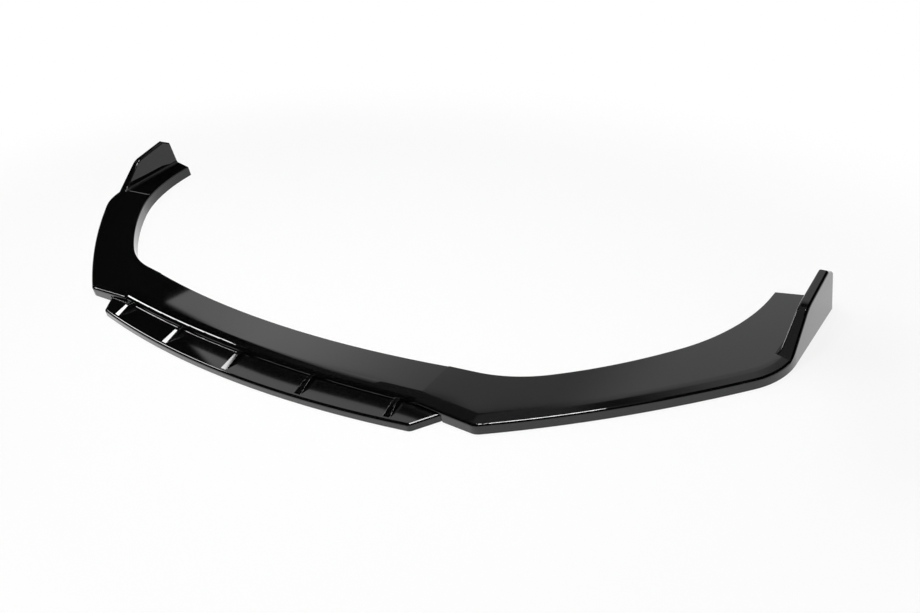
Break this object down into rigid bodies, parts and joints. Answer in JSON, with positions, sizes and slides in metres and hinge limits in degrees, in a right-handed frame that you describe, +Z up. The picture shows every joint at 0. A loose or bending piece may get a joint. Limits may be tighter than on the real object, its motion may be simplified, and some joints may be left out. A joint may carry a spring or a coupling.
{
  "type": "front splitter lip",
  "caption": "Low car front splitter lip: hollow centre section, swept wings that end in uprights, and a lower blade with moulded fins, screwed together from below.",
  "frame": {"origin": "middle of the object's footprint, on the plane of the bottom rims", "axes": "+X to the right across the car as seen from its front with the front nearest, +Y to the rear, +Z up"},
  "size_m": [1.7654, 0.59, 0.086],
  "materials": {
    "gloss_black": "high gloss",
    "zinc": "zinc plated"
  },
  "bodies": {
    "root": {"centre_section": "gloss_black", "left_wing": "gloss_black", "right_wing": "gloss_black", "lower_blade": "gloss_black", "joint_screws": "zinc", "joint_washers": "zinc", "blade_screws": "zinc", "blade_washers": "zinc"}
  },
  "joints": []
}
